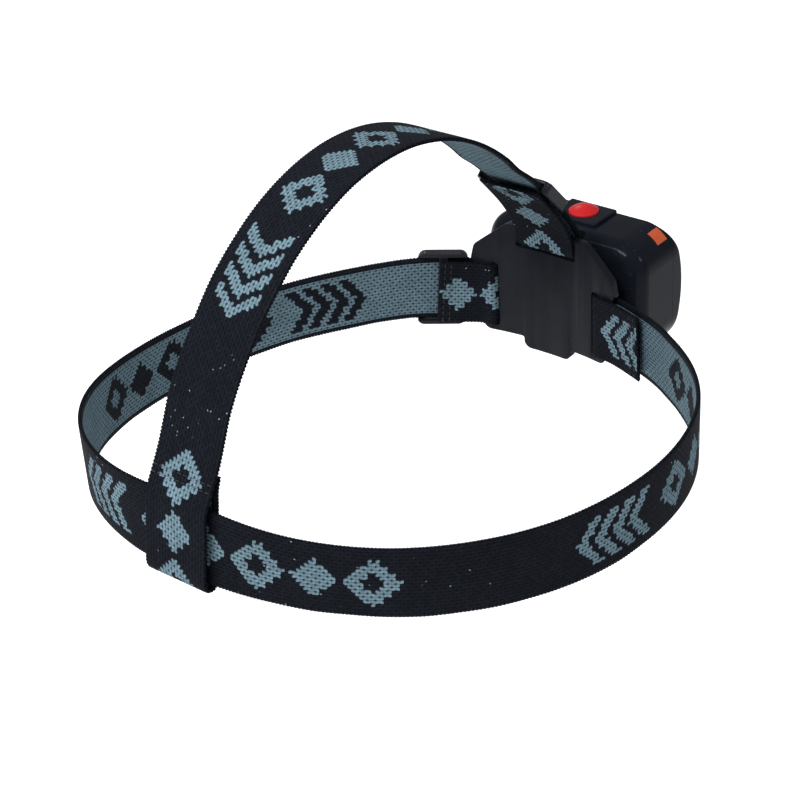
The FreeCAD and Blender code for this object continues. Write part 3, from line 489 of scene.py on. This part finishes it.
def ribbon(name, pts, across, marks, lean=None):
    """Knitted elastic: both faces, scalloped edges, stitch relief in the mesh, knit-cell UVs and a yarn mask."""
    s, C, L = smooth_line(pts, CELL_U / 2)
    n = len(s)
    ncell = int(round(L / CELL_U))
    T = np.gradient(C, axis=0)
    T /= np.linalg.norm(T, axis=1)[:, None]
    W = np.array(across, float)[None, :] - T * (T @ np.array(across, float))[:, None]
    W /= np.linalg.norm(W, axis=1)[:, None]
    N = np.cross(T, W)
    if lean:
        # the top edge is pulled inwards at the nape by the overhead strap
        d = np.where(C[:, 1] > 0, lean[0] * np.exp(-(C[:, 0] / lean[1]) ** 2), 0.0)
        flat = np.stack([T[:, 1], -T[:, 0], 0 * d], 1)
        flat /= np.linalg.norm(flat, axis=1)[:, None]
        t = np.arcsin(d / STRAP_W)[:, None]
        C = C - flat * d[:, None] / 2
        W = W * np.cos(t) - flat * np.sin(t)
        N = np.cross(T, W)
    # the adjuster's frame squeezes the elastic, which fills its opening from rail to rail
    fill = np.zeros(n)
    if name == "head_band_knit":
        fill = np.exp(-((C[:, 0] - 41.6) ** 2 + (C[:, 1] + 91.0) ** 2) / (2 * 7.0 ** 2))
        C = C + W * (0.30 * fill)[:, None]
    rows = int(STRAP_W / CELL_V)
    nv = rows * 2                                       # mesh steps across one face
    vs = np.linspace(-HALF, HALF, nv + 1)
    # cross-section loop: outer face left to right, edge, inner face right to left, edge
    loop = [(v, 1) for v in vs] + [(HALF + 0.30, 0)] + [(v, -1) for v in vs[::-1]] + [(-HALF - 0.30, 0)]
    k = len(loop)
    rng = np.random.default_rng(11)
    slow = np.interp(s, np.linspace(0, L, int(L / 14) + 2), rng.normal(0, 1, int(L / 14) + 2))
    slow2 = np.interp(s, np.linspace(0, L, int(L / 11) + 2), rng.normal(0, 1, int(L / 11) + 2))
    # mask per knit cell
    mask = np.zeros((ncell, rows), bool)
    for i in range(ncell):
        sm = (i + 0.5) * L / ncell
        for j in range(rows):
            vm = -HALF + (j + 0.5) * CELL_V
            mask[i, j] = abs(vm) < 10.7 and motif(sm, vm + (0.35 if i % 2 else -0.35), marks)
    verts = np.zeros((n, k, 3))
    cellu = s / L * ncell
    for j, (v, side) in enumerate(loop):
        edge = max(0.0, (abs(v) - (HALF - 1.1)) / 1.1)
        half = STRAP_T / 2 * (1 - 0.28 * min(1.0, edge) ** 2)
        row = (v + HALF) / CELL_V
        rib = 0.055 * (1 if (int(round(row * 2)) % 2) else -1) if abs(v) < HALF - 0.2 and side else 0.0
        iu = np.clip((cellu - 1e-6).astype(int), 0, ncell - 1)
        jv = min(rows - 1, max(0, int(row - 1e-6)))
        lit = mask[iu, jv].astype(float) if side else np.zeros(n)
        if side < 0 and abs(v) < 10.7:
            lit = 1 - lit
        puff = 0.05 * np.cos(math.pi * (cellu * 2 + (int(row) % 2))) * (0.5 + 0.5 * lit) if side else 0.0
        scal = np.zeros(n)
        if abs(v) > HALF - 0.7:
            amp = 0.20 if abs(v) <= HALF else 0.30
            scal = amp * np.cos(2 * math.pi * s / 1.2) * np.sign(v)
            scal = scal + 0.10 * (slow if v > 0 else slow2) * np.sign(v)
        scal = scal + v * 0.024 * fill
        crown = 0.10 * (1 - (v / HALF) ** 2) * slow * 0.4
        off = side * (half + rib + puff) + crown
        verts[:, j] = C + W * (v + scal)[:, None] + N * off[:, None] if np.ndim(off) else C + W * (v + scal)[:, None] + N * off
    verts *= MM
    idx = np.arange(n * k).reshape(n, k)
    a = idx[:-1, :]
    b = idx[1:, :]
    a2 = np.roll(a, -1, axis=1)
    b2 = np.roll(b, -1, axis=1)
    quads = np.stack([a, a2, b2, b], axis=-1).reshape(-1, 4)
    # ends
    faces = quads.tolist()
    nf = nv + 1
    caps = []
    for e, flip in ((0, False), (n - 1, True)):
        for j in range(nv):
            o0, o1 = idx[e, j], idx[e, j + 1]
            i0, i1 = idx[e, 2 * nf + 1 - 1 - j], idx[e, 2 * nf + 1 - 1 - (j + 1)]
            q = [o0, i0, i1, o1]
            caps.append(q[::-1] if flip else q)
        t1 = [idx[e, nf - 1], idx[e, nf + 1], idx[e, nf]]
        t2 = [idx[e, 0], idx[e, k - 1], idx[e, k - 2]]
        caps.append(t1 if not flip else t1[::-1])
        caps.append(t2 if not flip else t2[::-1])
    faces += [[int(x) for x in c] for c in caps]
    me = bpy.data.meshes.new(name)
    me.from_pydata(verts.reshape(-1, 3).tolist(), [], faces)
    me.update()
    # knit-cell coordinates: x along in cells, y across in rows, continuing round the edge
    uvl = me.uv_layers.new(name="knit")
    rowc = []
    for v, side in loop:
        rowc.append((v + HALF) / CELL_V)
    vu = np.repeat(cellu[:, None], k, 1).reshape(-1)
    vv = np.repeat(np.array(rowc)[None, :], n, 0).reshape(-1)
    li = np.zeros(len(me.loops), np.int32)
    me.loops.foreach_get("vertex_index", li)
    uv = np.stack([vu[li], vv[li]], 1).astype(np.float32)
    uvl.data.foreach_set("uv", uv.reshape(-1))
    # per face: yarn colour and side
    lit = np.zeros(len(me.polygons), np.float32)
    inner = np.zeros(len(me.polygons), np.float32)
    nq = (n - 1) * k
    fi = np.arange(nq)
    ci, cj = fi // k, fi % k
    cell = np.clip(((cellu[:-1] + cellu[1:]) / 2).astype(int), 0, ncell - 1)
    for j in range(k):
        v0, v1 = loop[j][0], loop[(j + 1) % k][0]
        s0, s1 = loop[j][1], loop[(j + 1) % k][1]
        sel = cj == j
        if s0 == 0 or s1 == 0:
            continue
        vm = (v0 + v1) / 2
        jr = min(rows - 1, max(0, int((vm + HALF) / CELL_V)))
        on = mask[cell[ci[sel]], jr].astype(np.float32)
        if s0 < 0:
            inner[np.where(sel)[0]] = 1
            on = (1 - on) if abs(vm) < 10.7 else np.zeros_like(on)
        lit[np.where(sel)[0]] = on
    at = me.attributes.new("yarn", "FLOAT", "FACE")
    at.data.foreach_set("value", lit)
    at = me.attributes.new("inner", "FLOAT", "FACE")
    at.data.foreach_set("value", inner)
    me.polygons.foreach_set("use_smooth", [True] * len(me.polygons))
    ob = bpy.data.objects.new(name, me)
    scene.collection.objects.link(ob)
    return ob, L, C, T, W, N, s


def strap_material():
    k = Nodes("strap_knit")
    uv = k.new("UVMap", uv_map="knit").outputs[0]
    sep = k.new("SeparateXYZ")
    k.put(sep.inputs[0], uv)
    U, Vr = sep.outputs[0], sep.outputs[1]
    at = k.new("Attribute", attribute_type="GEOMETRY", attribute_name="yarn")
    yarn = at.outputs["Fac"]
    ai = k.new("Attribute", attribute_type="GEOMETRY", attribute_name="inner")
    inner = ai.outputs["Fac"]
    o = k.obj()
    # zigzag of the wales: stitches lean one way, then the other
    half = k.math("MULTIPLY", U, 0.5)
    saw = k.math("FRACT", half)
    tri = k.math("ABSOLUTE", k.math("SUBTRACT", k.math("MULTIPLY", saw, 2.0), 1.0))       # 0..1..0 over two cells
    # every other row leans the other way, which leaves small holes between the rows; the holes and the gaps round each
    # stitch get painted shade
    odd = k.math("SUBTRACT", 1.0, k.math("MULTIPLY", k.math("FLOORED_MODULO", k.math("FLOOR", Vr), 2.0), 2.0))
    V2 = Vr
    fu = k.math("SUBTRACT", k.math("FRACT", U), 0.5)
    fv = k.math("ADD", k.math("SUBTRACT", k.math("FRACT", Vr), 0.5),
                k.math("MULTIPLY", odd, k.math("MULTIPLY", k.math("SUBTRACT", tri, 0.5), 0.30)))
    du = k.math("POWER", k.math("ABSOLUTE", k.math("MULTIPLY", fu, 1.65)), 2.0)
    dv = k.math("POWER", k.math("ABSOLUTE", k.math("MULTIPLY", fv, 2.15)), 2.0)
    dd = k.math("ADD", du, dv)
    stitch = k.smooth(dd, 1.25, 0.65)
    dome = k.math("SUBTRACT", 1.0, k.math("MINIMUM", dd, 1.0))
    # per-stitch variation
    wn = k.new("TexWhiteNoise", noise_dimensions="2D")
    comb = k.new("CombineXYZ")
    k.put(comb.inputs[0], k.math("FLOOR", U))
    k.put(comb.inputs[1], k.math("FLOOR", V2))
    k.put(wn.inputs["Vector"], comb.outputs[0])
    r1 = wn.outputs["Value"]
    slow = k.noise(o, 60.0, 3.0, 0.6)
    fibre = k.noise(k.scale(o, (1.0, 1.0, 1.0)), 3500.0, 2.0, 0.7)
    # blue-grey yarn
    blue = k.mix(r1, (0.076, 0.128, 0.160), (0.120, 0.188, 0.226))
    blue = k.mix(k.lin(fibre, 0.35, 0.7, 0.0, 0.5), blue, (0.175, 0.243, 0.278))
    # gap: the blue yarn darkened where the stitch dome falls off, painted shade between the stitches and in the holes
    gap = (0.016, 0.030, 0.041)
    lit = k.mix(stitch, gap, blue)
    # the inner face's blue yarn is darkened by 30 %: painted shade on the inward-facing side
    lit = k.mix(k.math("MULTIPLY", inner, 0.30), lit, (0.004, 0.007, 0.010))
    # black ground, darker at the row edges: painted shade in the grooves between the ribs
    rib = k.math("ABSOLUTE", k.math("SUBTRACT", k.math("FRACT", Vr), 0.5))
    ground = k.mix(k.lin(rib, 0.15, 0.45), (0.0042, 0.0052, 0.0080), (0.0024, 0.0030, 0.0048))
    # stitch domes of the black ground are lighter, by a random amount per stitch: painted highlight on the stitch tops
    ground = k.mix(k.math("MULTIPLY", stitch, k.lin(r1, 0.0, 1.0, 0.1, 0.6)), ground, (0.0082, 0.0102, 0.0146))
    # sparse pale flecks where the float yarn peeps through
    fleck = k.math("GREATER_THAN", r1, 0.972)
    dot = k.smooth(k.math("ADD", k.math("POWER", k.math("MULTIPLY", fu, 4.2), 2.0), k.math("POWER", k.math("MULTIPLY", fv, 4.6), 2.0)), 1.0, 0.3)
    zone = k.smooth(k.noise(o, 26.0, 2.0), 0.50, 0.58)
    fl = k.math("MULTIPLY", k.math("MULTIPLY", fleck, dot), k.math("MULTIPLY", zone, 0.75))
    ground = k.mix(fl, ground, (0.30, 0.35, 0.40))
    col = k.mix(yarn, ground, lit)
    col = k.mix(k.lin(slow, 0.35, 0.65, 0.0, 0.18), col, (0.0, 0.0, 0.0))
    h = k.math("MULTIPLY", dome, k.lin(yarn, 0.0, 1.0, 0.45, 1.0))
    n = k.bump(h, 0.00022, 0.9)
    n = k.bump(fibre, 0.00006, 0.5, n)
    rough = k.lin(stitch, 0.0, 1.0, 0.9, 0.72)
    return k.set(color=col, rough=rough, normal=n, sheen=0.006, sheen_rough=0.4, sheen_tint=(0.55, 0.62, 0.75), spec=0.035)


M_STRAP = strap_material()
band_marks = [("row", -56.0), ("patch", 77.5), ("row", 115.5), ("patch", 259.5), ("row", 297.5), ("patch", 441.5),
              ("row", 479.5), ("patch", 623.5)]
over_marks = [("row", -4.5), ("patch", 126.5), ("row", 164.5), ("patch", 298.5), ("row", 336.5)]
band, band_L, bC, bT, bW, bN, bs = ribbon("head_band_knit", band_pts, (0, 0, 1), band_marks, (4.5, 28.0))
over, over_L, oC, oT, oW, oN, os_ = ribbon("overhead_strap_knit", over_pts, (1, 0, 0), over_marks)
print("strap lengths mm", round(band_L, 1), round(over_L, 1))
for ob, node, L in ((band, "head_band", band_L), (over, "overhead_strap", over_L)):
    ob.data.materials.append(M_STRAP)
    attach(ob, "headgear")
    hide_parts(node)


def thread_material():
    k = Nodes("seam_thread")
    o = k.obj()
    tw = k.new("TexWave", wave_type="BANDS", bands_direction="DIAGONAL")
    k.put(tw.inputs["Vector"], o)
    tw.inputs["Scale"].default_value = 1500.0
    f = k.noise(o, 1200.0, 2.0)
    return k.set(color=k.mix(k.lin(f, 0.3, 0.7), (0.008, 0.009, 0.012), (0.020, 0.022, 0.028)), rough=0.62,
                 normal=k.bump(tw.outputs["Fac"], 0.00008, 0.8), sheen=0.05, sheen_rough=0.4, spec=0.3)


M_THREAD = thread_material()


def seam(name, C, T, W, N, s, where, side=1, rows=2, gap=2.6, pitch=2.3, length=1.7, half_width=11.2, radius=0.17):
    """Rows of lockstitches across the strap: each stitch is a short bowed thread lying in the knit."""
    verts, faces = [], []
    for r in range(rows):
        i = int(np.argmin(abs(s - (where + r * gap))))
        n = int(2 * half_width / pitch)
        for j in range(n + 1):
            v = -half_width + j * (2 * half_width / n)
            base = len(verts)
            ring, along = 6, 7
            for a in range(along):
                u = a / (along - 1) * 2 - 1
                rr = radius * math.sqrt(max(0.04, 1 - abs(u) ** 3.0))
                h = 0.70 + 0.10 * (1 - u * u) - 0.06 * abs(u)
                P = C[i] + W[i] * (v + u * length / 2) + N[i] * side * h
                for b in range(ring):
                    t = 2 * math.pi * b / ring
                    verts.append((P + N[i] * rr * math.sin(t) + T[i] * rr * math.cos(t)) * MM)
            for a in range(along - 1):
                for b in range(ring):
                    b2 = (b + 1) % ring
                    faces.append((base + a * ring + b, base + a * ring + b2, base + (a + 1) * ring + b2, base + (a + 1) * ring + b))
            faces.append(tuple(base + b for b in range(ring))[::-1])
            faces.append(tuple(base + (along - 1) * ring + b for b in range(ring)))
    me = bpy.data.meshes.new(name)
    me.from_pydata([tuple(v) for v in verts], [], faces)
    me.update()
    me.polygons.foreach_set("use_smooth", [True] * len(me.polygons))
    me.materials.append(M_THREAD)
    ob = bpy.data.objects.new(name, me)
    scene.collection.objects.link(ob)
    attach(ob, "headgear")
    return ob


def s_at(C, s, lo, hi, axis, value):
    """Length along the line, between lo and hi, where a coordinate takes a value."""
    m = (s >= lo) & (s <= hi)
    return float(s[m][np.argmin(abs(C[m, axis] - value))])


seam_z = s_at(oC, os_, 45.0, 120.0, 2, 28.2)
seam("rear_seam_outside", oC, oT, oW, oN, os_, seam_z)
seam("rear_seam_inside", oC, oT, oW, oN, os_, 2.2, gap=2.6)
seam("overhead_end_seam", oC, oT, oW, oN, os_, over_L - 4.6, gap=2.4)
seam("band_end_seam_left", bC, bT, bW, bN, bs, 2.0, gap=2.4)
seam("band_end_seam_right", bC, bT, bW, bN, bs, band_L - 4.4, gap=2.4)


# ---------------------------------------------------------------------------
# floor, lights, world
# ---------------------------------------------------------------------------
FLOOR_Z = -0.160
fm = bpy.data.meshes.new("floor")
fm.from_pydata([(-12, -12, FLOOR_Z), (12, -12, FLOOR_Z), (12, 12, FLOOR_Z), (-12, 12, FLOOR_Z)], [], [(0, 1, 2, 3)])
floor = bpy.data.objects.new("floor", fm)
scene.collection.objects.link(floor)
k = Nodes("floor_pale")
fn = k.noise(k.obj(), 3.0, 2.0)
fm.materials.append(k.set(color=k.mix(fn, (0.90, 0.90, 0.905), (0.92, 0.92, 0.925)), rough=0.7, spec=0.1,
                          emit=(1.0, 1.0, 1.0), emit_strength=0.24))

world = bpy.data.worlds.new("studio")
scene.world = world
world.use_nodes = True
bg = world.node_tree.nodes["Background"]
bg.inputs[0].default_value = (0.97, 0.98, 1.0, 1.0)
bg.inputs[1].default_value = 0.44


def area(name, loc, target, size, power, color=(1, 1, 1)):
    ld = bpy.data.lights.new(name, "AREA")
    ld.shape = "RECTANGLE"
    ld.size, ld.size_y = size
    ld.energy = power
    ld.color = color
    ob = bpy.data.objects.new(name, ld)
    ob.location = loc
    ob.rotation_euler = (Vector(target) - Vector(loc)).to_track_quat("-Z", "Y").to_euler()
    scene.collection.objects.link(ob)
    return ob


area("key_top", (-0.45, 0.05, 1.25), (0, 0, 0), (1.2, 1.0), 1.5)
area("side_right", (-1.25, -0.45, 0.75), (0, -0.05, 0.0), (0.28, 0.28), 3.5)
area("rear_strip", (0.14, 0.75, 1.05), (0, -0.05, 0.02), (1.1, 0.26), 27.0)
area("rear_fill", (0.35, 1.35, 0.75), (0, 0, 0.03), (0.8, 0.6), 2.0)
area("front_fill", (1.0, -0.9, 0.9), (0, -0.05, 0.0), (0.28, 0.28), 3.5)
scene.view_settings.view_transform = "Standard"
scene.view_settings.look = "None"
